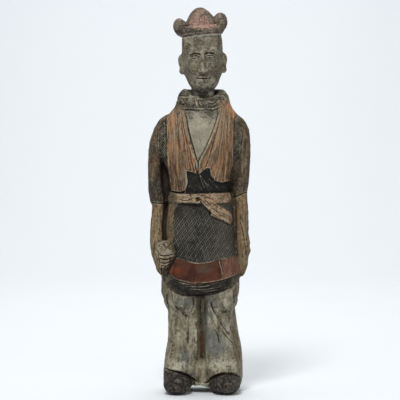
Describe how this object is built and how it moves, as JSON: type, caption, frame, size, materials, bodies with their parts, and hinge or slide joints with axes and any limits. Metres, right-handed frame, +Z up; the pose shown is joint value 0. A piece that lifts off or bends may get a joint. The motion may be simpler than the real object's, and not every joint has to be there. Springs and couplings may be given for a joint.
{
  "type": "statue",
  "caption": "Standing tomb servant of fired clay in belted robe, fringed mantle and cap, with a closed fist and a loose head set in the open collar.",
  "frame": {"origin": "on the floor under the middle of the figure", "axes": "+Z up through the cap, -Y the way the figure faces, +X to its left hand"},
  "size_m": [0.268, 0.1838, 1.0007],
  "materials": {
    "body_clay": "matt grey-brown fired clay with worn red, orange and black pigment",
    "head_clay": "matt grey-cream fired clay with dark stains, pinkish cap"
  },
  "bodies": {
    "root": {"body": "body_clay", "head": "head_clay"}
  },
  "joints": []
}
